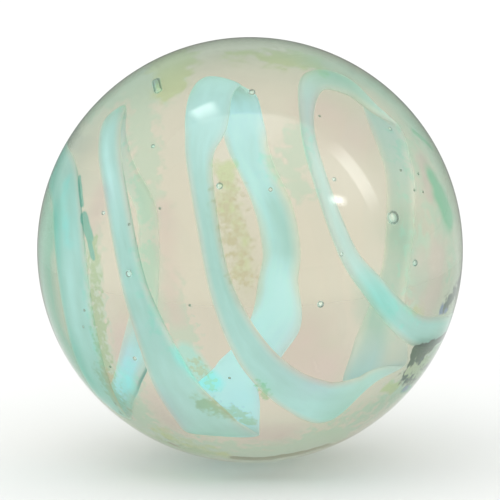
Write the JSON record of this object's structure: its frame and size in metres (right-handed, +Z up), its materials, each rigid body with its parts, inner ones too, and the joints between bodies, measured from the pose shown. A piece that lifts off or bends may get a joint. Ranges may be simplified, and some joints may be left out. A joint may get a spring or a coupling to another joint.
{
  "type": "glass marble",
  "caption": "Round clear glass toy marble with an aqua glass ribbon winding through it like a corkscrew, and small gas bubbles.",
  "frame": {"origin": "centre of the ball", "axes": "+Z up; -Y is the side that shows the ribbon's open loop"},
  "size_m": [0.016, 0.016, 0.016],
  "materials": {
    "clear_glass": "polished clear glass with a faint warm green tint",
    "aqua_glass": "opaque aqua glass, fused inside the clear glass"
  },
  "bodies": {
    "root": {"clear_glass": "clear_glass", "aqua_ribbon": "aqua_glass"}
  },
  "joints": []
}
